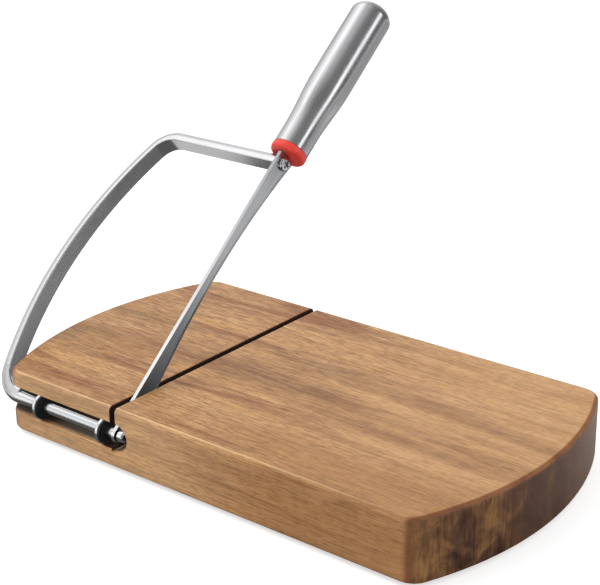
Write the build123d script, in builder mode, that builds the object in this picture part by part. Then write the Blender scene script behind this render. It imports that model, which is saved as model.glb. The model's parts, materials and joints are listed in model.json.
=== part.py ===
from build123d import *
import math
import os

# A table slicer: a thick wooden board with a blade on a hinged steel frame.
# X runs along the board, Y from its front to its back, Z up. The origin is the
# middle of the board's underside. The frame is modelled at rest, half raised.

os.makedirs("parts", exist_ok=True)

# Board: one plank with both ends bowed outward
board_length = 265.8
board_width = 147.0
board_thickness = 30.0
board_end_radius = 162.0
board_corner_radius = 10.1
board_top_round = 2.4
board_bottom_round = 1.6

# Pivot: its axis runs along X, just behind the front face
axle_height = 15.6
axle_inset = 2.9
axle_diameter = 5.0
rest_lift = 39.4

# Blade: a flat strip with a straight spine and a hollow cutting edge
blade_thickness = 1.8
blade_lug_radius = 3.4
blade_heel_reach = 27.4
blade_heel_depth = 6.8
blade_waist_depth = 1.0
blade_tip_depth = 6.8
blade_spine_rise = 5.9
blade_bevel_width = 2.2
blade_edge_thickness = 0.5
tang_width = 8.0
tang_length = 46.0

# Slot across the board for the blade, measured from the board's left end
slot_inset = 85.6
slot_side_clearance = 0.7
slot_floor_clearance = 0.8
slot_lip = 0.4

# Bearings: a steel ring and a rubber friction washer at two places on the axle
ring_diameter = 12.8
ring_thickness = 1.6
ring_round = 0.4
right_ring_gap = 8.5
ring_spacing = 41.1
friction_washer_diameter = 12.0
friction_washer_thickness = 0.8
ring_fit = 0.05
running_fit = 0.05
washer_running_fit = 0.03
groove_end_offset = 1.5
groove_lip = 0.5

# Frame bow: a D-section bar, flat on the inside, drawn down to a round axle
bar_width = 9.2
bar_thickness = 6.3
bar_side_height = 1.8
bar_flat_round = 0.5
arm_radius = 194.5
arm_middle_reach = 74.3
arm_side_clearance = 2.4
top_bar_clearance = 7.1
lower_bend_radius = 16.8
upper_bend_radius = 13.3
neck_diameter = 6.0
neck_corner_round = 2.8
neck_length = 10.0

# Screws that hold the blade to the frame bow
frame_screw_inset = 0.6
frame_screw_head_diameter = 7.4
frame_screw_head_height = 1.8
frame_screw_head_round = 1.3
frame_screw_diameter = 4.0
frame_screw_length = 12.0
axle_screw_head_diameter = 5.2
axle_screw_head_height = 3.2
axle_screw_head_round = 1.0
axle_screw_diameter = 3.0
axle_screw_length = 11.0
spring_washer_diameter = 5.0
spring_washer_thickness = 0.8
screw_fit = 0.05
tapped_hole_spare = 2.0

# Cross recess, as shares of the screw head's diameter and height
recess_width_share = 0.17
recess_span_share = 0.58
recess_depth_share = 0.6
recess_taper = 8.0

# Handle on the blade's tang
collar_gap = 0.3
collar_diameter = 18.5
collar_length = 4.2
collar_bottom_round = 2.2
collar_top_round = 0.8
spigot_length = 4.0
spigot_fit = 0.1
grip_foot_diameter = 18.0
grip_widest_diameter = 21.4
grip_neck_length = 11.0
grip_flare_length = 30.0
grip_length = 90.5
grip_dome_length = 7.6
grip_wall = 0.9
grip_fit = 0.05
tang_fit = 0.1

# Rubber feet, each in a shallow recess and held by one screw
foot_diameter = 13.0
foot_stand = 2.0
foot_recess = 2.0
foot_round = 1.0
foot_fit = 0.15
foot_end_inset = 37.9
foot_side_inset = 25.5
foot_screw_head_diameter = 5.6
foot_screw_head_height = 1.6
foot_screw_head_round = 0.8
foot_screw_diameter = 2.9
foot_screw_length = 12.0
foot_screw_depth = 2.2
foot_screw_clearance = 0.3

cut_overrun = 10.0


# Places worked out from the sizes above
axle_y = -board_width / 2 + axle_inset
slot_x = slot_inset - board_length / 2
slot_width = blade_thickness + 2 * slot_side_clearance
slot_floor = axle_height - blade_heel_depth - slot_floor_clearance
foot_spacing_x = board_length - 2 * foot_end_inset
foot_spacing_y = board_width - 2 * foot_side_inset
blade_left_x = slot_x - blade_thickness / 2
blade_right_x = slot_x + blade_thickness / 2

frame_reach = board_width - axle_inset + top_bar_clearance + bar_thickness / 2
frame_screw_reach = frame_reach - frame_screw_inset
arm_centre_x = -board_length / 2 - arm_side_clearance - bar_thickness / 2 + arm_radius
handle_start = frame_reach + bar_thickness / 2 + collar_gap
grip_start = handle_start + collar_length

lift = math.radians(rest_lift)
reach_direction = (0, math.cos(lift), math.sin(lift))
spine_direction = (0, -math.sin(lift), math.cos(lift))
# Centre of the upper blade screw, in the plane square to the pivot
frame_screw_point = (frame_screw_reach * math.cos(lift), frame_screw_reach * math.sin(lift))

# In the frame plane, x is the model's X and y is the distance from the pivot.
frame_plane = Plane(origin=(0, axle_y, axle_height), x_dir=(1, 0, 0), z_dir=spine_direction)
# In the blade plane, x is the distance from the pivot and y points to the spine.
blade_plane = Plane(origin=(slot_x, axle_y, axle_height), x_dir=reach_direction, z_dir=(1, 0, 0))
handle_axis = Axis(blade_plane.origin, reach_direction)


def pivot_plane(x):
    """Plane square to the pivot's axis at this X, facing +X."""
    return Plane(origin=(x, axle_y, axle_height), x_dir=(0, 1, 0), z_dir=(1, 0, 0))


# Board
groove_radius = ring_diameter / 2 + ring_fit
groove_end_x = slot_x + groove_end_offset
end_sagitta = board_end_radius - math.sqrt(board_end_radius**2 - (board_width / 2) ** 2)
corner_x = board_length / 2 - end_sagitta
groove_plane = Plane(
    origin=(groove_end_x, axle_y, axle_height), x_dir=(0, 1, 0), z_dir=(-1, 0, 0)
)

with BuildPart() as board:
    with BuildSketch() as plank_outline:
        with BuildLine():
            front = Line((-corner_x, -board_width / 2), (corner_x, -board_width / 2))
            right = ThreePointArc(front @ 1, (board_length / 2, 0), (corner_x, board_width / 2))
            back = Line(right @ 1, (-corner_x, board_width / 2))
            ThreePointArc(back @ 1, (-board_length / 2, 0), front @ 0)
        make_face()
        fillet(plank_outline.vertices(), board_corner_radius)
    extrude(amount=board_thickness)
    fillet(board.faces().sort_by(Axis.Z)[-1].edges(), board_top_round)
    fillet(board.faces().sort_by(Axis.Z)[0].edges(), board_bottom_round)

    # Slot for the blade, its lips eased
    with BuildSketch(Plane.XZ):
        with BuildLine():
            Polyline(
                (slot_x - slot_width / 2, slot_floor),
                (slot_x + slot_width / 2, slot_floor),
                (slot_x + slot_width / 2, board_thickness - slot_lip),
                (slot_x + slot_width / 2 + slot_lip, board_thickness),
                (slot_x - slot_width / 2 - slot_lip, board_thickness),
                (slot_x - slot_width / 2, board_thickness - slot_lip),
                close=True,
            )
        make_face()
    extrude(amount=board_width / 2 + cut_overrun, both=True, mode=Mode.SUBTRACT)

    # Groove for the axle, open at the left end
    with BuildSketch(groove_plane):
        Rectangle(
            axle_inset + groove_radius + cut_overrun,
            2 * groove_radius,
            align=(Align.MAX, Align.CENTER),
        )
        Circle(groove_radius)
    extrude(amount=board_length, mode=Mode.SUBTRACT)

    # Round end of the groove, as the cutter leaves it
    with BuildSketch(groove_plane):
        Rectangle(axle_inset + cut_overrun, groove_radius, align=(Align.MAX, Align.MIN))
        with BuildLine():
            base = Line((0, 0), (groove_radius, 0))
            ball = CenterArc((0, 0), groove_radius, 0, 90)
            Line(ball @ 1, base @ 0)
        make_face()
    revolve(
        axis=Axis(groove_plane.origin, (0, -1, 0)), revolution_arc=180, mode=Mode.SUBTRACT
    )
    front_edges = board.edges().filter_by_position(
        Axis.Y, -board_width / 2 - 0.01, -board_width / 2 + 0.01
    )
    groove_edges = front_edges.filter_by_position(
        Axis.Z, axle_height - groove_radius - 0.01, axle_height + groove_radius + 0.01
    )
    chamfer(groove_edges, groove_lip)

    # Recesses and pilot holes for the feet
    with BuildSketch():
        with GridLocations(foot_spacing_x, foot_spacing_y, 2, 2):
            Circle(foot_diameter / 2 + foot_fit)
    extrude(amount=foot_recess, mode=Mode.SUBTRACT)
    with BuildSketch(Plane.XY.offset(foot_recess)):
        with GridLocations(foot_spacing_x, foot_spacing_y, 2, 2):
            Circle(foot_screw_diameter / 2 + screw_fit)
    extrude(
        amount=foot_screw_length - foot_recess - foot_stand + foot_screw_depth + foot_screw_clearance,
        mode=Mode.SUBTRACT,
    )
board.part.label = "board"
export_step(board.part, "parts/board.step")


# Bearing rings and friction washers, seated in the groove
right_ring_x = slot_x - right_ring_gap
ring_faces = {"left": right_ring_x - ring_spacing, "right": right_ring_x}

for side, ring_x in ring_faces.items():
    with BuildPart() as bearing_ring:
        with BuildSketch(pivot_plane(ring_x)):
            Circle(ring_diameter / 2)
            Circle(axle_diameter / 2 + running_fit, mode=Mode.SUBTRACT)
        extrude(amount=ring_thickness)
        rim_edges = bearing_ring.edges().filter_by(GeomType.CIRCLE).group_by(SortBy.RADIUS)[-1]
        fillet(rim_edges, ring_round)
    bearing_ring.part.label = f"bearing_ring_{side}"
    export_step(bearing_ring.part, f"parts/bearing_ring_{side}.step")

    with BuildPart() as friction_washer:
        with BuildSketch(pivot_plane(ring_x + ring_thickness)):
            Circle(friction_washer_diameter / 2)
            Circle(axle_diameter / 2 + washer_running_fit, mode=Mode.SUBTRACT)
        extrude(amount=friction_washer_thickness)
    friction_washer.part.label = f"friction_washer_{side}"
    export_step(friction_washer.part, f"parts/friction_washer_{side}.step")


# Frame bow
# The arm is an arc, so each bend turns by less than a right angle.
lower_lean = math.degrees(
    math.asin((arm_middle_reach - lower_bend_radius) / (arm_radius - lower_bend_radius))
)
upper_lean = math.degrees(
    math.asin(
        (frame_reach - upper_bend_radius - arm_middle_reach) / (arm_radius - upper_bend_radius)
    )
)
upper_bend_x = arm_centre_x - (arm_radius - upper_bend_radius) * math.cos(math.radians(upper_lean))
lower_bend_x = arm_centre_x - (arm_radius - lower_bend_radius) * math.cos(math.radians(lower_lean))
neck_end_x = lower_bend_x + neck_length


def bar_section(point, direction, width, thickness, side_height, corner_round):
    """Section of the bar, square to its path, with its flat side toward the inside."""
    plane = Plane(origin=point, x_dir=spine_direction, z_dir=direction)
    with BuildSketch(plane) as section:
        with BuildLine():
            flat = Line((-width / 2, -thickness / 2), (width / 2, -thickness / 2))
            side = Line(flat @ 1, (width / 2, side_height - thickness / 2))
            crown = ThreePointArc(
                side @ 1, (0, thickness / 2), (-width / 2, side_height - thickness / 2)
            )
            Line(crown @ 1, flat @ 0)
        make_face()
        fillet(section.vertices().group_by(Axis(plane.origin, plane.y_dir))[0], corner_round)
    return section.sketch


with BuildLine(frame_plane) as upper_path:
    top_run = Line((blade_left_x, frame_reach), (upper_bend_x, frame_reach))
    upper_bend = JernArc(top_run @ 1, top_run % 1, upper_bend_radius, 90 - upper_lean)
    arm = JernArc(upper_bend @ 1, upper_bend % 1, arm_radius, upper_lean + lower_lean)
with BuildLine(frame_plane) as lower_path:
    lower_bend = JernArc(arm @ 1, arm % 1, lower_bend_radius, 90 - lower_lean)

bar_start = bar_section(
    top_run @ 0, top_run % 0, bar_width, bar_thickness, bar_side_height, bar_flat_round
)
bend_start = bar_section(
    arm @ 1, arm % 1, bar_width, bar_thickness, bar_side_height, bar_flat_round
)
bend_end = bar_section(
    lower_bend @ 1,
    lower_bend % 1,
    neck_diameter,
    neck_diameter,
    neck_diameter / 2,
    neck_corner_round,
)

with BuildPart() as frame_bow:
    sweep(sections=bar_start, path=upper_path.wire())
    sweep(sections=[bend_start, bend_end], path=lower_path.wire(), multisection=True)

    # Turned neck and axle
    with BuildSketch(frame_plane):
        with BuildLine():
            Polyline(
                (lower_bend_x, 0),
                (lower_bend_x, neck_diameter / 2),
                (neck_end_x, axle_diameter / 2),
                (blade_left_x, axle_diameter / 2),
                (blade_left_x, 0),
                close=True,
            )
        make_face()
    revolve(axis=Axis(frame_plane.origin, (1, 0, 0)))

    # Tapped holes for the two blade screws
    with BuildSketch(pivot_plane(blade_left_x)):
        Circle(axle_screw_diameter / 2 + screw_fit)
    axle_hole_depth = (
        axle_screw_length - blade_thickness - spring_washer_thickness + tapped_hole_spare
    )
    extrude(amount=-axle_hole_depth, mode=Mode.SUBTRACT)
    with BuildSketch(pivot_plane(blade_left_x)):
        with Locations(frame_screw_point):
            Circle(frame_screw_diameter / 2 + screw_fit)
    frame_hole_depth = frame_screw_length - blade_thickness + tapped_hole_spare
    extrude(amount=-frame_hole_depth, mode=Mode.SUBTRACT)
frame_bow.part.label = "frame_bow"
export_step(frame_bow.part, "parts/frame_bow.step")


# Blade with its tang
blade_middle_reach = (blade_heel_reach + handle_start) / 2
bevel_depth = (blade_thickness - blade_edge_thickness) / 2

with BuildPart() as blade:
    with BuildSketch(blade_plane):
        with BuildLine():
            lug = ThreePointArc((0, blade_lug_radius), (-blade_lug_radius, 0), (0, -blade_lug_radius))
            heel = Line(lug @ 1, (blade_heel_reach, -blade_heel_depth))
            edge = ThreePointArc(
                heel @ 1,
                (blade_middle_reach, -blade_waist_depth),
                (handle_start, -blade_tip_depth),
            )
            Polyline(
                edge @ 1,
                (handle_start, -tang_width / 2),
                (handle_start + tang_length, -tang_width / 2),
                (handle_start + tang_length, tang_width / 2),
                (handle_start, tang_width / 2),
                (handle_start, blade_spine_rise),
                lug @ 0,
            )
        make_face()
        with Locations((0, 0)):
            Circle(axle_screw_diameter / 2 + screw_fit, mode=Mode.SUBTRACT)
        with Locations((frame_screw_reach, 0)):
            Circle(frame_screw_diameter / 2 + screw_fit, mode=Mode.SUBTRACT)
    extrude(amount=blade_thickness / 2, both=True)
    cutting_face = blade.faces().filter_by(GeomType.CYLINDER).sort_by(SortBy.AREA)[-1]
    cutting_edges = cutting_face.edges().filter_by(GeomType.CIRCLE)
    chamfer(cutting_edges, length=bevel_depth, length2=blade_bevel_width, reference=cutting_face)
blade.part.label = "blade"
export_step(blade.part, "parts/blade.step")


def cross_recess_screw(seat, head_diameter, head_height, head_round, diameter, length):
    """Screw with its head standing on the seat plane and its shank going in behind it."""
    recess_width = head_diameter * recess_width_share
    recess_span = head_diameter * recess_span_share
    recess_depth = head_height * recess_depth_share
    with BuildPart() as screw:
        with BuildSketch(seat):
            Circle(head_diameter / 2)
        extrude(amount=head_height)
        head_rim = screw.edges().filter_by(GeomType.CIRCLE).sort_by(Axis(seat.origin, seat.z_dir))[-1]
        fillet(head_rim, head_round)
        with BuildSketch(seat.offset(head_height)):
            Rectangle(recess_span, recess_width)
            Rectangle(recess_width, recess_span)
        extrude(amount=-recess_depth, taper=recess_taper, mode=Mode.SUBTRACT)
        with BuildSketch(seat):
            Circle(diameter / 2)
        extrude(amount=-length)
    return screw.part


# Blade screws and the spring washer on the axle's end
frame_screw_seat = Plane(
    origin=blade_plane.from_local_coords((frame_screw_reach, 0, blade_thickness / 2)),
    x_dir=reach_direction,
    z_dir=(1, 0, 0),
)
frame_screw = cross_recess_screw(
    frame_screw_seat,
    frame_screw_head_diameter,
    frame_screw_head_height,
    frame_screw_head_round,
    frame_screw_diameter,
    frame_screw_length,
)
frame_screw.label = "frame_screw"
export_step(frame_screw, "parts/frame_screw.step")

axle_screw = cross_recess_screw(
    pivot_plane(blade_right_x + spring_washer_thickness),
    axle_screw_head_diameter,
    axle_screw_head_height,
    axle_screw_head_round,
    axle_screw_diameter,
    axle_screw_length,
)
axle_screw.label = "axle_screw"
export_step(axle_screw, "parts/axle_screw.step")

with BuildPart() as spring_washer:
    with BuildSketch(pivot_plane(blade_right_x)):
        Circle(spring_washer_diameter / 2)
        Circle(axle_screw_diameter / 2 + screw_fit, mode=Mode.SUBTRACT)
    extrude(amount=spring_washer_thickness)
spring_washer.part.label = "spring_washer"
export_step(spring_washer.part, "parts/spring_washer.step")


# Handle
def grip_solid(foot_radius, inset):
    """Solid round grip, its flared side and dome drawn in by the inset."""
    neck_end = grip_start + grip_neck_length
    dome_start = grip_start + grip_length - grip_dome_length
    widest = grip_widest_diameter / 2 - inset
    with BuildPart() as grip:
        with BuildSketch(blade_plane):
            with BuildLine():
                foot = Line((grip_start, 0), (grip_start, foot_radius))
                Line(foot @ 1, (neck_end, foot_radius))
                flare = Spline(
                    (neck_end, foot_radius),
                    (neck_end + grip_flare_length, widest),
                    tangents=[(1, 0), (1, 0)],
                )
                Line(flare @ 1, (dome_start, widest))
                EllipticalCenterArc(
                    (dome_start, 0), grip_dome_length - inset, widest, start_angle=0, arc_size=90
                )
                Line((dome_start + grip_dome_length - inset, 0), foot @ 0)
            make_face()
        revolve(axis=handle_axis)
    return grip.part


grip_outside = grip_solid(grip_foot_diameter / 2, 0)
grip_inside = grip_solid(grip_foot_diameter / 2 - grip_wall, grip_wall)
core_inset = grip_wall + grip_fit
core_blank = grip_solid(grip_foot_diameter / 2 - core_inset, core_inset)

with BuildPart() as handle_shell:
    add(grip_outside)
    add(grip_inside, mode=Mode.SUBTRACT)
handle_shell.part.label = "handle_shell"
export_step(handle_shell.part, "parts/handle_shell.step")

core_start = grip_start + spigot_length
tang_pocket_width = tang_width + 2 * tang_fit
tang_pocket_thickness = blade_thickness + 2 * tang_fit


def tang_plane(reach):
    """Plane square to the handle's axis at this distance from the pivot."""
    return Plane(
        origin=blade_plane.from_local_coords((reach, 0)),
        x_dir=spine_direction,
        z_dir=reach_direction,
    )


with BuildPart() as handle_core:
    add(core_blank)
    with BuildSketch(tang_plane(grip_start)):
        Circle(grip_widest_diameter / 2)
    extrude(amount=spigot_length, mode=Mode.SUBTRACT)
    with BuildSketch(tang_plane(core_start)):
        Rectangle(tang_pocket_width, tang_pocket_thickness)
    extrude(amount=tang_length + handle_start + tang_fit - core_start, mode=Mode.SUBTRACT)
handle_core.part.label = "handle_core"
export_step(handle_core.part, "parts/handle_core.step")

with BuildPart() as handle_collar:
    with BuildSketch(tang_plane(handle_start)):
        Circle(collar_diameter / 2)
    extrude(amount=collar_length)
    rims = handle_collar.edges().filter_by(GeomType.CIRCLE).sort_by(handle_axis)
    fillet(rims[0], collar_bottom_round)
    fillet(rims[-1], collar_top_round)
    with BuildSketch(tang_plane(grip_start)):
        Circle(grip_foot_diameter / 2 - grip_wall - spigot_fit)
    extrude(amount=spigot_length)
    with BuildSketch(tang_plane(handle_start)):
        Rectangle(tang_pocket_width, tang_pocket_thickness)
    extrude(amount=collar_length + spigot_length, mode=Mode.SUBTRACT)
handle_collar.part.label = "handle_collar"
export_step(handle_collar.part, "parts/handle_collar.step")


# Feet and their screws
foot_seat_z = foot_screw_depth - foot_stand
foot_sides = {
    "front_left": (-1, -1),
    "front_right": (1, -1),
    "back_left": (-1, 1),
    "back_right": (1, 1),
}
foot_screw_list = []

for place, (x_side, y_side) in foot_sides.items():
    foot_x = x_side * foot_spacing_x / 2
    foot_y = y_side * foot_spacing_y / 2
    with BuildPart() as foot:
        with BuildSketch(Plane(origin=(foot_x, foot_y, -foot_stand))):
            Circle(foot_diameter / 2)
        extrude(amount=foot_stand + foot_recess)
        fillet(foot.edges().sort_by(Axis.Z)[0], foot_round)
        with Locations(Plane(origin=(foot_x, foot_y, -foot_stand), z_dir=(0, 0, -1))):
            CounterBoreHole(
                foot_screw_diameter / 2 + screw_fit,
                foot_screw_head_diameter / 2 + foot_screw_clearance,
                foot_screw_depth,
            )
    foot.part.label = f"foot_{place}"
    export_step(foot.part, f"parts/foot_{place}.step")
    foot_screw_list.append(
        cross_recess_screw(
            Plane(origin=(foot_x, foot_y, foot_seat_z), z_dir=(0, 0, -1)),
            foot_screw_head_diameter,
            foot_screw_head_height,
            foot_screw_head_round,
            foot_screw_diameter,
            foot_screw_length,
        )
    )

foot_screws = Compound(children=foot_screw_list)
foot_screws.label = "foot_screws"
export_step(foot_screws, "parts/foot_screws.step")
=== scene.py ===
"""Looks of the table slicer: its finishes, the studio and the camera."""

import json
import math

import bpy
from mathutils import Matrix, Vector


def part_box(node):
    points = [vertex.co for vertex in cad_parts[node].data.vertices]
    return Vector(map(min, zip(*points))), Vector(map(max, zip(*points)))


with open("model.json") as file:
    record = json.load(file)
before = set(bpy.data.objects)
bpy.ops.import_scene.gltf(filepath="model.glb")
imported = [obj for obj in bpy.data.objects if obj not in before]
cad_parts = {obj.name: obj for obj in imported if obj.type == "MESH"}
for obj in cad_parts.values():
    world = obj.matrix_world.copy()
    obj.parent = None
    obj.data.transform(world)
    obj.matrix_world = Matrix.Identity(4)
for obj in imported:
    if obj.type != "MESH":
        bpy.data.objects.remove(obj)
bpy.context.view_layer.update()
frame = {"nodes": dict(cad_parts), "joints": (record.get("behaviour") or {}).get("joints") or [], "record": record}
nodes = frame["nodes"]

MM = 0.001

# The hinge's lower stop is the blade lying level in the slot, so it gives the lift at rest.
REST_LIFT = math.radians(-frame["joints"][0]["range_deg"][0])
ALONG_HANDLE = (-REST_LIFT, 0.0, 0.0)

# The saw cut of the board lies in the plane of the blade.
CUT_X = (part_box("blade")[0].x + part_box("blade")[1].x) / 2
# Where the saw cut's darker wood and painted shade lie
CUT_HALF = 1.7 * MM
CUT_FLOOR_Z = 9.0 * MM

# These place the painted shade inside the groove.
# The groove in the board's front runs round the hinge line and ends just past the saw cut.
GROOVE_Z = frame["joints"][0]["pos_m"][2]
GROOVE_HALF = 6.6 * MM
GROOVE_END_X = CUT_X + 3.0 * MM
# It reaches from just behind the front face to behind its own back wall.
FRONT_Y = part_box("board")[0].y
GROOVE_MIDDLE_Y = FRONT_Y + 6.8 * MM
GROOVE_REACH = 6.7 * MM


def colour(code):
    """Linear RGBA of an sRGB colour written as six hex digits."""
    channels = [int(code[i : i + 2], 16) / 255 for i in (0, 2, 4)]
    linear = [c / 12.92 if c <= 0.04045 else ((c + 0.055) / 1.055) ** 2.4 for c in channels]
    return (*linear, 1.0)


def add(tree, kind, settings=None, inputs=None, out=0):
    """Adds a node with its settings and links, and returns one of its outputs.

    An input is a value or another node's output. The setting "stops" is the list of
    (place, hex colour) of a colour ramp, and "span" is what a range runs from and to,
    and what it gives at both.
    """
    node = tree.nodes.new(kind)
    for name, value in (settings or {}).items():
        if name == "stops":
            while len(node.color_ramp.elements) < len(value):
                node.color_ramp.elements.new(1.0)
            for element, (place, code) in zip(node.color_ramp.elements, value):
                element.position = place
                element.color = colour(code)
        elif name == "span":
            for socket, number in zip(("From Min", "From Max", "To Min", "To Max"), value):
                node.inputs[socket].default_value = number
        else:
            setattr(node, name, value)
    for key, value in (inputs or {}).items():
        if isinstance(value, bpy.types.NodeSocket):
            tree.links.new(value, node.inputs[key])
        else:
            node.inputs[key].default_value = value
    return node.outputs[out] if node.outputs else node


# Sockets of a colour mix, and the settings used most
UNDER, OVER, MIXED = 6, 7, 2
BLEND = {"data_type": "RGBA"}
MULTIPLY = {"data_type": "RGBA", "blend_type": "MULTIPLY"}
OVERLAY = {"data_type": "RGBA", "blend_type": "OVERLAY"}
SMOOTH = {"interpolation_type": "SMOOTHSTEP"}
TIMES = {"operation": "MULTIPLY"}
MINUS = {"operation": "SUBTRACT"}

# A surface that looks along X by more than this faces sideways.
SIDEWAYS = 0.5

# Each mark of a finish starts elsewhere in the noise, so that no two of them agree.
MARK_SHIFT = (7.3, 3.1, 5.9)
MARK_ROUGHNESS = 0.6
RELIEF_STRENGTH = 0.6


def start_finish(name, marks, turn=(0.0, 0.0, 0.0)):
    """New material with its marks: (length in X, Y and Z in millimetres, fineness, waviness).

    The turn lines the marks up with a leaning piece.
    """
    material = bpy.data.materials.new(name)
    material.use_nodes = True
    tree = material.node_tree
    tree.nodes.clear()
    place = add(tree, "ShaderNodeTexCoord", out="Object")
    place = add(tree, "ShaderNodeMapping", None, {"Vector": place, "Rotation": turn})
    made = {}
    for number, (mark, (lengths, fineness, wave)) in enumerate(marks.items()):
        spread = {
            "Scale": tuple(1.0 / (length * MM) for length in lengths),
            "Location": tuple(step * number for step in MARK_SHIFT),
        }
        spot = add(tree, "ShaderNodeMapping", None, {"Vector": place, **spread})
        noise = {
            "Scale": 1.0,
            "Detail": fineness,
            "Roughness": MARK_ROUGHNESS,
            "Distortion": wave,
        }
        made[mark] = add(tree, "ShaderNodeTexNoise", None, {"Vector": spot, **noise})
    return material, tree, made


def end_finish(tree, relief, relief_mm, surface):
    """Joins the main shader, with a relief this many millimetres high, to the output."""
    bump = {"Height": relief, "Distance": relief_mm * MM, "Strength": RELIEF_STRENGTH}
    normal = add(tree, "ShaderNodeBump", None, bump)
    shader = add(tree, "ShaderNodeBsdfPrincipled", None, {**surface, "Normal": normal})
    add(tree, "ShaderNodeOutputMaterial", None, {"Surface": shader})


# Marks of the board. Its real pores and fibres are about 0.2 mm wide, and they are drawn
# wider so that they show.
ACACIA_MARKS = {
    "band": ((240, 27, 22), 2.0, 0.5),
    "tint": ((130, 14, 11), 3.0, 1.0),
    "streak": ((20, 0.9, 0.9), 4.0, 0.8),
    "pore": ((5, 0.5, 0.5), 1.0, 0.3),
    "ripple": ((4, 9, 9), 2.0, 0.8),
    "patch": ((60, 14, 17), 3.0, 0.4),
    "ray": ((20, 1.5, 11), 3.0, 0.3),
    "fibre": ((9, 0.55, 0.55), 3.0, 0.5),
}
# Colours that the marks run through, from their hollows to their crests
ACACIA_TONES = {
    "band": [(0.34, "B88C5E"), (0.46, "CC9F6D"), (0.56, "D8AF7B"), (0.68, "D0A571")],
    "tint": [(0.34, "C49072"), (0.50, "FFFFFF"), (0.68, "FFF2D6")],
    "streak": [(0.36, "B48C68"), (0.52, "FFFFFF")],
    "ripple": [(0.36, "686868"), (0.64, "969696")],
    "ray": [(0.35, "9A8474"), (0.60, "FFFFFF")],
    "fibre": [(0.36, "9A948C"), (0.64, "DADAD8")],
}
END_GRAIN_TONES = [(0.36, "382418"), (0.48, "5C4030"), (0.56, "785434"), (0.68, "9C7244")]
# How changes of the wood fade: (what the fade follows, from, to, value at the first, value
# at the second). Along, across and inward are places in metres. Endward, frontward and
# upward say how far the surface faces that way, and front_edge how far it faces as the
# rounded front edge does.
ACACIA_FADES = {
    # The tint is stronger toward the left, and the streaks too.
    "red": ("along", -0.05, 0.07, 0.75, 0.35),
    "bold": ("along", -0.02, 0.09, 1.0, 0.5),
    "pore": ("pore", 0.34, 0.43, 0.6, 0.0),
    # Where the rim turns toward the ends it is sanded smooth and darker.
    "calm": ("endward", 0.03, 0.35, 1.0, 0.15),
    "turned": ("endward", 0.08, 0.40, 0.0, 0.8),
    # A darker stave lies in front, to the right.
    "front": ("across", -0.058, -0.028, 1.0, 0.0),
    "right": ("along", -0.04, 0.05, 0.0, 1.0),
    # The front face is paler at the left.
    "pale_front": ("frontward", -0.95, -0.5, 0.34, 0.0),
    # A painted highlight lies along the rounded long front edge, stronger at the left.
    "edge": ("front_edge", 0.972, 0.999, 0.0, 1.0),
    "edge_highlight_fade": ("along", 0.02, 0.11, 0.45, 0.10),
    # End grain shows where the surface faces along X and not up: patchy in front. Painted
    # shade darkens it toward the back and evens it in the middle, and a painted sheen makes
    # it paler at the back.
    "end": ("endward", 0.30, 0.75, 0.0, 0.95),
    "upright": ("upward", 0.20, 0.65, 1.0, 0.0),
    "shade_toward_back": ("across", -0.045, 0.0, -0.03, 0.05),
    "even": ("across", -0.045, -0.005, 0.0, 0.7),
    "sheen_at_back": ("across", 0.005, 0.06, 0.0, 0.6),
    # Painted shade inside the groove, darker the further in it goes.
    # Near the saw cut the painted shade reaches up to its lip.
    "lip": ("along", CUT_X - 13.7 * MM, CUT_X - 3.7 * MM, 0.0, 2.6 * MM),
    "deep": ("inward", FRONT_Y + 0.7 * MM, FRONT_Y + 4.3 * MM, 0.0, 0.93),
}
# The way the rounded front edge faces, where the painted highlight lies
FRONT_EDGE_FACING = (0.0, -0.42, 0.91)
STREAK_STRENGTH = 0.6
RIPPLE_STRENGTH = 0.3
RAY_STRENGTH = 0.6
# Roughness by the height of the streaks: from hollow, to crest, roughness at both
OIL_GLOSS = (0.3, 0.7, 0.54, 0.42)


def board_places(tree):
    """Where a spot of the board lies along X, Y and Z, and how far it faces each way."""
    at = {}
    place = add(tree, "ShaderNodeTexCoord", out="Object")
    normal = add(tree, "ShaderNodeTexCoord", out="Normal")
    for vector, names in (
        (place, ("along", "across", "height")),
        (normal, ("endward", "frontward", "upward")),
    ):
        for axis, name in zip("XYZ", names):
            at[name] = add(tree, "ShaderNodeSeparateXYZ", None, {"Vector": vector}, axis)
    at["endward"] = add(tree, "ShaderNodeMath", {"operation": "ABSOLUTE"}, {0: at["endward"]})
    facing = {0: normal, 1: FRONT_EDGE_FACING}
    dot = {"operation": "DOT_PRODUCT"}
    at["front_edge"] = add(tree, "ShaderNodeVectorMath", dot, facing, "Value")
    return at


def acacia_end_grain(tree, patch, ray, fade):
    """Colour of the sawn ends: dark and tan patches, crossed by the wood's rays, under painted shade toward the
    middle and a painted sheen at the back.
    """
    # Painted shade: the patches turn darker toward the back.
    body = add(tree, "ShaderNodeMath", MINUS, {0: patch, 1: fade["shade_toward_back"]})
    body = add(tree, "ShaderNodeValToRGB", {"stops": END_GRAIN_TONES}, {"Fac": body})
    for way, where, coat in (
        (MULTIPLY, RAY_STRENGTH, ray),
        # Painted shade, dark and even toward the middle
        (BLEND, fade["even"], colour("5E4536")),
        # Painted sheen, paler at the back
        (BLEND, fade["sheen_at_back"], colour("8A6850")),
    ):
        body = add(tree, "ShaderNodeMix", way, {0: where, UNDER: body, OVER: coat}, MIXED)
    return body


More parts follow.
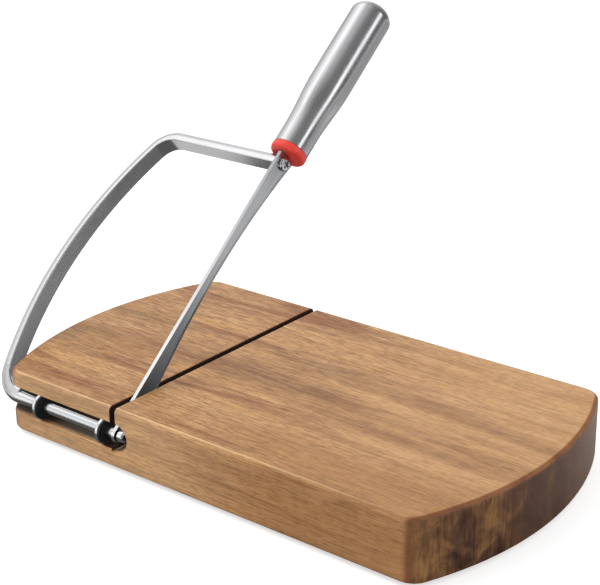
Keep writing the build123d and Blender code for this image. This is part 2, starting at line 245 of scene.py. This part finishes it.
def board_hollows(tree, at, deep):
    """How strongly the groove is darkened by painted shade, and the saw cut by darker wood with painted shade."""
    groove = deep
    for operation, numbers in (
        ("COMPARE", {0: at["height"], 1: GROOVE_Z, 2: GROOVE_HALF}),
        ("COMPARE", {0: at["across"], 1: GROOVE_MIDDLE_Y, 2: GROOVE_REACH}),
        ("LESS_THAN", {0: at["along"], 1: GROOVE_END_X}),
        ("LESS_THAN", {0: at["endward"], 1: SIDEWAYS}),
    ):
        inside = add(tree, "ShaderNodeMath", {"operation": operation}, numbers)
        groove = add(tree, "ShaderNodeMath", TIMES, {0: groove, 1: inside})

    # The walls and floor of the saw cut, darker wood under painted shade: the wood close to the blade, above the
    # cut's floor
    near = {0: at["along"], 1: CUT_X, 2: CUT_HALF}
    near = add(tree, "ShaderNodeMath", {"operation": "COMPARE"}, near)
    above = {0: at["height"], 1: CUT_FLOOR_Z}
    above = add(tree, "ShaderNodeMath", {"operation": "GREATER_THAN"}, above)
    cut = add(tree, "ShaderNodeMath", TIMES, {0: near, 1: above})
    return groove, cut


def oiled_acacia():
    """Acacia, planed, sanded and oiled.

    Tan and reddish bands run along X with fine dark streaks and short pores, and a
    faint ripple crosses them. The ends drink the oil and turn dark, with painted shade in
    their middle and a painted sheen at their back. The saw cut is darker wood under painted
    shade, the groove has painted shade, and a painted highlight runs along the front rim.
    """
    material, tree, marks = start_finish("oiled_acacia", ACACIA_MARKS)
    tone = {
        mark: add(tree, "ShaderNodeValToRGB", {"stops": stops}, {"Fac": marks[mark]})
        for mark, stops in ACACIA_TONES.items()
    }
    at = {"pore": marks["pore"], **board_places(tree)}
    fade = {}
    for name, (follows, *span) in ACACIA_FADES.items():
        if follows == "inward":
            shifted = {0: at["across"], 1: fade["lip"]}
            at["inward"] = add(tree, "ShaderNodeMath", None, shifted)
        settings = {**SMOOTH, "span": span}
        fade[name] = add(tree, "ShaderNodeMapRange", settings, {"Value": at[follows]})

    bold = add(tree, "ShaderNodeMath", TIMES, {0: fade["calm"], 1: fade["bold"]})
    streaks = add(tree, "ShaderNodeMath", TIMES, {0: bold, 1: STREAK_STRENGTH})
    pores = add(tree, "ShaderNodeMath", TIMES, {0: fade["pore"], 1: bold})
    fibres = add(tree, "ShaderNodeMath", TIMES, {0: fade["calm"], 1: fade["red"]})
    stave = add(tree, "ShaderNodeMath", TIMES, {0: fade["front"], 1: fade["right"]})
    left = add(tree, "ShaderNodeMath", MINUS, {0: 1.0, 1: fade["right"]})
    pale_front = add(tree, "ShaderNodeMath", TIMES, {0: fade["pale_front"], 1: left})
    edge = add(tree, "ShaderNodeMath", TIMES, {0: fade["edge"], 1: fade["edge_highlight_fade"]})
    end = add(tree, "ShaderNodeMath", TIMES, {0: fade["end"], 1: fade["upright"]})
    end_grain = acacia_end_grain(tree, marks["patch"], tone["ray"], fade)
    groove, cut = board_hollows(tree, at, fade["deep"])

    # One coat over another: how it is laid, where it shows, and its colour
    body = tone["band"]
    for way, where, coat in (
        (MULTIPLY, fade["red"], tone["tint"]),
        (MULTIPLY, streaks, tone["streak"]),
        (BLEND, pores, colour("7E5230")),
        (OVERLAY, RIPPLE_STRENGTH, tone["ripple"]),
        (OVERLAY, fibres, tone["fibre"]),
        (MULTIPLY, fade["turned"], colour("A67A58")),
        (MULTIPLY, stave, colour("E3D9CD")),
        (BLEND, pale_front, colour("E0B98C")),
        # Painted highlight along the rounded front edge
        (BLEND, edge, colour("F6D6A4")),
        (BLEND, end, end_grain),
        # Painted shade inside the groove
        (BLEND, groove, colour("22170F")),
        # The saw cut: darker wood with painted shade over it
        (BLEND, cut, colour("2A1910")),
    ):
        body = add(tree, "ShaderNodeMix", way, {0: where, UNDER: body, OVER: coat}, MIXED)

    # The dark streaks are a little duller, and the saw cut is dull all over.
    gloss = add(tree, "ShaderNodeMapRange", {"span": OIL_GLOSS}, {"Value": marks["streak"]})
    gloss = add(tree, "ShaderNodeMath", {"operation": "MAXIMUM"}, {0: gloss, 1: cut})
    relief = add(tree, "ShaderNodeMath", MINUS, {0: marks["streak"], 1: pores})
    relief = add(tree, "ShaderNodeMath", TIMES, {0: relief, 1: fade["calm"]})
    end_finish(tree, relief, 0.02, {"Base Color": body, "Roughness": gloss, "IOR": 1.42})
    return material


# From the hinge to the handle, the part of the blade whose narrow sides carry a painted highlight that turns to
# painted shade
SPINE_FROM_Y = -45.0 * MM
SPINE_TO_Y = 50.0 * MM


def stainless_steel(
    name, tint, shade, roughness, mark, relief_mm, turn=(0.0, 0.0, 0.0), spine=None
):
    """Bare stainless steel whose finish is its marks: brushing, grinding, tumbling or polish.

    The spine is for a strip whose narrow sides are painted apart from its faces: a painted
    highlight near the hinge that turns to painted shade toward the handle. Its colours go in
    the order from the hinge to the handle.
    """
    material, tree, marks = start_finish(
        name, {"mark": (mark, 3.0, 0.0), "haze": ((14, 14, 14), 2.0, 0.0)}, turn
    )
    stops = [(0.36, shade), (0.62, tint)]
    body = add(tree, "ShaderNodeValToRGB", {"stops": stops}, {"Fac": marks["mark"]})
    if spine:
        normal = add(tree, "ShaderNodeTexCoord", out="Normal")
        facing = add(tree, "ShaderNodeSeparateXYZ", None, {"Vector": normal}, "X")
        facing = add(tree, "ShaderNodeMath", {"operation": "ABSOLUTE"}, {0: facing})
        narrow = {0: facing, 1: SIDEWAYS}
        narrow = add(tree, "ShaderNodeMath", {"operation": "LESS_THAN"}, narrow)
        place = add(tree, "ShaderNodeTexCoord", out="Object")
        across = add(tree, "ShaderNodeSeparateXYZ", None, {"Vector": place}, "Y")
        span = (SPINE_FROM_Y, SPINE_TO_Y, 0.0, 1.0)
        across = add(tree, "ShaderNodeMapRange", {"span": span}, {"Value": across})
        side = add(tree, "ShaderNodeValToRGB", {"stops": spine}, {"Fac": across})
        body = add(tree, "ShaderNodeMix", BLEND, {0: narrow, UNDER: body, OVER: side}, MIXED)
    span = (0.3, 0.7, roughness * 0.85, roughness * 1.15)
    worn = add(tree, "ShaderNodeMapRange", {"span": span}, {"Value": marks["haze"]})
    surface = {"Base Color": body, "Metallic": 1.0, "Roughness": worn}
    end_finish(tree, marks["mark"], relief_mm, surface)
    return material


def moulded(name, tint, shade, roughness, grain_mm, relief_mm, ior):
    """Rubber or plastic as it leaves the mould, with a faint mottle and a fine skin."""
    material, tree, marks = start_finish(
        name, {"mottle": ((5, 5, 5), 2.0, 0.0), "skin": ((grain_mm,) * 3, 2.0, 0.0)}
    )
    stops = [(0.35, shade), (0.65, tint)]
    body = add(tree, "ShaderNodeValToRGB", {"stops": stops}, {"Fac": marks["mottle"]})
    span = (0.3, 0.7, roughness * 0.9, roughness * 1.1)
    worn = add(tree, "ShaderNodeMapRange", {"span": span}, {"Value": marks["skin"]})
    surface = {"Base Color": body, "Roughness": worn, "IOR": ior}
    end_finish(tree, marks["skin"], relief_mm, surface)
    return material


# Brushed and ground lines are about 0.1 mm wide on the real steel, and are drawn wider so
# that they show.
finishes = {
    "board_wood": oiled_acacia(),
    # Tumbled bar: a soft even satin
    "bow_steel": stainless_steel("satin_steel_bar", "C4C4C5", "BFBFC1", 0.22, (2, 2, 2), 0.001),
    # Surface-ground strip: fine lines along the blade and a greyer face
    "blade_steel": stainless_steel(
        "ground_steel_strip",
        "B7B8BA",
        "ACADB0",
        0.21,
        (0.7, 60, 0.7),
        0.001,
        ALONG_HANDLE,
        # Painted highlight on the narrow sides near the hinge, painted shade toward the handle
        [(0.0, "D2D2D0"), (0.5, "A6A7A9"), (1.0, "86878A")],
    ),
    # Brushed tube: streaks run the length of the grip
    "grip_steel": stainless_steel(
        "brushed_steel_tube", "CCCCCD", "BDBDC0", 0.24, (0.7, 80, 0.7), 0.001, ALONG_HANDLE
    ),
    # Turned and polished rings: clear bright reflections
    "ring_steel": stainless_steel(
        "polished_steel_ring", "DADADC", "D0D0D2", 0.12, (1, 1, 1), 0.001
    ),
    # Plated screws: bright edges and near-black hollows
    "screw_steel": stainless_steel("plated_screw", "D4D4D6", "C8C8CA", 0.12, (1, 1, 1), 0.001),
    # Blackened spring steel: a thin dark line
    "spring_steel": stainless_steel(
        "blackened_spring", "2A2A2C", "202022", 0.40, (1, 1, 1), 0.002
    ),
    # Rubber: near black and dull, the feet greyer than the washers
    "washer_rubber": moulded("black_rubber_washer", "141415", "0C0C0D", 0.60, 0.3, 0.01, 1.52),
    "foot_rubber": moulded("dark_rubber_foot", "303032", "262628", 0.75, 0.3, 0.02, 1.52),
    # Nylon: a clear red collar with a soft gloss, and a dull grey core
    "collar_plastic": moulded("red_nylon_collar", "F04436", "E63C2E", 0.36, 0.8, 0.006, 1.53),
    "core_plastic": moulded("grey_nylon_core", "3C3C3E", "323234", 0.60, 0.8, 0.010, 1.53),
}
for part in frame["record"]["subparts"]:
    skin = nodes[part["node"]].data
    skin.materials.clear()
    skin.materials.append(finishes[part["material_slot"]])

# The steel parts show the studio and not the wood beside them, as in the photograph.
nodes["board"].visible_glossy = False


# Studio: a white floor with grey cards, two softboxes, and a room that the steel sees as a
# gradient. Sizes and distances are in metres.
MIDDLE = Vector((0.0, 0.02, 0.08))
FLOOR_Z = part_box("foot_front_left")[0].z
FLOOR_SIZE = 30
FLOOR_GLOW, FLOOR_GLOW_IN_STEEL = 0.59, 0.10


def stage_paint(name, tint, glow, steel_glow):
    """Diffuse paint with a glow that lights nothing: one for the view, one for gloss."""
    material = bpy.data.materials.new(name)
    material.use_nodes = True
    tree = material.node_tree
    tree.nodes.clear()
    seen = add(tree, "ShaderNodeLightPath", out="Is Camera Ray")
    through = add(tree, "ShaderNodeLightPath", out="Is Transmission Ray")
    seen = add(tree, "ShaderNodeMath", {"operation": "MAXIMUM"}, {0: seen, 1: through})
    seen = add(tree, "ShaderNodeMath", TIMES, {0: seen, 1: glow})
    shown = add(tree, "ShaderNodeLightPath", out="Is Glossy Ray")
    shown = add(tree, "ShaderNodeMath", TIMES, {0: shown, 1: steel_glow})
    strength = add(tree, "ShaderNodeMath", {"operation": "MAXIMUM"}, {0: seen, 1: shown})
    light = add(tree, "ShaderNodeEmission", None, {"Strength": strength})
    paint = add(tree, "ShaderNodeBsdfDiffuse", None, {"Color": colour(tint)})
    both = add(tree, "ShaderNodeAddShader", None, {0: paint, 1: light})
    add(tree, "ShaderNodeOutputMaterial", None, {"Surface": both})
    return material


def stage_sheet(name, width, height, matrix, paint):
    """Flat rectangle of the stage."""
    mesh = bpy.data.meshes.new(name)
    x, y = width / 2, height / 2
    mesh.from_pydata([(-x, -y, 0), (x, -y, 0), (x, y, 0), (-x, y, 0)], [], [(0, 1, 2, 3)])
    mesh.materials.append(paint)
    sheet = bpy.data.objects.new(name, mesh)
    sheet.matrix_world = matrix
    bpy.context.scene.collection.objects.link(sheet)
    return sheet


def softbox(name, direction, distance, width, height, level, roll):
    """Area lamp of this brightness, turned to the tool and rolled by some degrees.

    The direction is where it stands, seen from the middle of the tool.
    """
    lamp = bpy.data.lights.new(name, "AREA")
    lamp.shape = "RECTANGLE"
    lamp.size = width
    lamp.size_y = height
    lamp.energy = level * math.pi * width * height
    away = Vector(direction).normalized()
    box = bpy.data.objects.new(name, lamp)
    turn = away.to_track_quat("Z", "Y").to_matrix().to_4x4()
    turn = turn @ Matrix.Rotation(math.radians(roll), 4, "Z")
    box.matrix_world = Matrix.Translation(MIDDLE + away * distance) @ turn
    box.visible_camera = False
    bpy.context.scene.collection.objects.link(box)
    return box


def grey_card(name, width, depth, x, y, dark, pale, lift=0.5):
    """Card on the floor, paler toward the back, that only the steel sees.

    It grades the flat faces of the bow and the blade. The lift above the floor, in
    millimetres, keeps cards that overlap apart.
    """
    material = bpy.data.materials.new(name + "_paint")
    material.use_nodes = True
    tree = material.node_tree
    tree.nodes.clear()
    place = add(tree, "ShaderNodeTexCoord", out="Object")
    back = add(tree, "ShaderNodeSeparateXYZ", None, {"Vector": place}, "Y")
    span = (-depth / 4, depth / 7, dark, pale)
    level = add(tree, "ShaderNodeMapRange", {"span": span}, {"Value": back})
    light = add(tree, "ShaderNodeEmission", None, {"Strength": level})
    add(tree, "ShaderNodeOutputMaterial", None, {"Surface": light})
    matrix = Matrix.Translation((x, y, FLOOR_Z + lift * MM))
    card = stage_sheet(name, width, depth, matrix, material)
    card.visible_camera = False
    card.visible_diffuse = False
    card.visible_shadow = False
    card.visible_transmission = False


floor_paint = stage_paint("white_floor_paint", "D8D8D8", FLOOR_GLOW, FLOOR_GLOW_IN_STEEL)
floor_place = Matrix.Translation((0, 0, FLOOR_Z))
stage_sheet("floor", FLOOR_SIZE, FLOOR_SIZE, floor_place, floor_paint)

# Width, depth, the middle in X and Y, how bright in front and at the back, and the lift
grey_card("card_left", 0.13, 0.44, -0.095, 0.10, 0.14, 0.22)
grey_card("card_under", 0.73, 0.44, 0.335, 0.10, 0.05, 0.90)
grey_card("card_arm", 0.045, 0.27, 0.0125, 0.185, 0.14, 0.20, 0.8)
grey_card("card_bend", 0.030, 0.07, -0.020, 0.050, 0.12, 0.14, 0.8)
grey_card("card_back", 1.20, 0.80, 0.40, 0.73, 0.45, 0.45)

# Direction, distance, width, height, brightness and roll. The upper left light is not seen
# in the steel, where the bright part of the room's gradient stands for it.
key = softbox("softbox_upper_left", (-0.53, -0.40, 0.74), 1.3, 0.9, 0.9, 2.9, 0)
key.visible_glossy = False
softbox("softbox_right", (0.893, 0.205, 0.400), 1.4, 0.35, 1.3, 1.9, -56)

world = bpy.data.worlds.new("studio_world")
bpy.context.scene.world = world
world.use_nodes = True
sky = world.node_tree
sky.nodes.clear()
direction = add(sky, "ShaderNodeTexCoord", out="Generated")

# The steel sees a room that goes from bright at the left to dark at the right. It dims to
# the back, and in front between the light overhead and the pale floor.
ROOM = {
    "X": [
        (0.00, "BABABA"),
        (0.07, "C2C2C2"),
        (0.13, "E0E0E0"),
        (0.20, "FFFFFF"),
        (0.25, "FAFAFA"),
        (0.35, "C5C5C5"),
        (0.457, "B1B1B1"),
        (0.55, "969696"),
        (0.645, "7D7D7D"),
        (0.725, "6D6D6D"),
        (0.80, "616161"),
        (1.00, "616161"),
    ],
    "Y": [
        (0.00, "F3F3F3"),
        (0.125, "F6F6F6"),
        (0.20, "DDDDDD"),
        (0.305, "BEBEBE"),
        (0.37, "FFFFFF"),
        (0.55, "FFFFFF"),
        (0.72, "C4C4C4"),
        (1.00, "C4C4C4"),
    ],
}
ROOM_LEVEL = 2.0
shades = {}
for axis, stops in ROOM.items():
    side = add(sky, "ShaderNodeSeparateXYZ", None, {"Vector": direction}, axis)
    side = add(sky, "ShaderNodeMapRange", {"span": (-1.0, 1.0)}, {"Value": side})
    shades[axis] = add(sky, "ShaderNodeValToRGB", {"stops": stops}, {"Fac": side})
room = {0: 1.0, UNDER: shades["X"], OVER: shades["Y"]}
room = add(sky, "ShaderNodeMix", MULTIPLY, room, MIXED)
room = add(sky, "ShaderNodeBackground", None, {"Color": room, "Strength": ROOM_LEVEL})
# The view shows the room white, and it lights the tool a little less.
view_ray = add(sky, "ShaderNodeLightPath", out="Is Camera Ray")
lit = {0: view_ray, UNDER: colour("DEDEDE"), OVER: colour("FFFFFF")}
lit = add(sky, "ShaderNodeMix", BLEND, lit, MIXED)
lit = add(sky, "ShaderNodeBackground", None, {"Color": lit})
gloss_ray = add(sky, "ShaderNodeLightPath", out="Is Glossy Ray")
light = add(sky, "ShaderNodeMixShader", None, {0: gloss_ray, 1: lit, 2: room})
add(sky, "ShaderNodeOutputWorld", None, {"Surface": light})


# Camera, fitted to the outline of the board, in metres
CAMERA_PLACE = Vector((0.411949, -0.508427, 0.332670))
CAMERA_RIGHT = Vector((0.780954, 0.624492, -0.011016))
CAMERA_UP = Vector((-0.222256, 0.294336, 0.929499))
CAMERA_FORWARD = Vector((-0.583707, 0.723447, -0.368660))
LENS_MM = 93.87
SENSOR_MM = 36.0

lens = bpy.data.cameras.new("camera")
lens.lens = LENS_MM
lens.sensor_width = SENSOR_MM
lens.sensor_fit = "HORIZONTAL"
lens.clip_start = 0.01
camera = bpy.data.objects.new("camera", lens)
turn = Matrix((CAMERA_RIGHT, CAMERA_UP, -CAMERA_FORWARD)).transposed().to_4x4()
camera.matrix_world = Matrix.Translation(CAMERA_PLACE) @ turn
bpy.context.scene.collection.objects.link(camera)
bpy.context.scene.camera = camera
bpy.context.scene.view_settings.view_transform = "Standard"
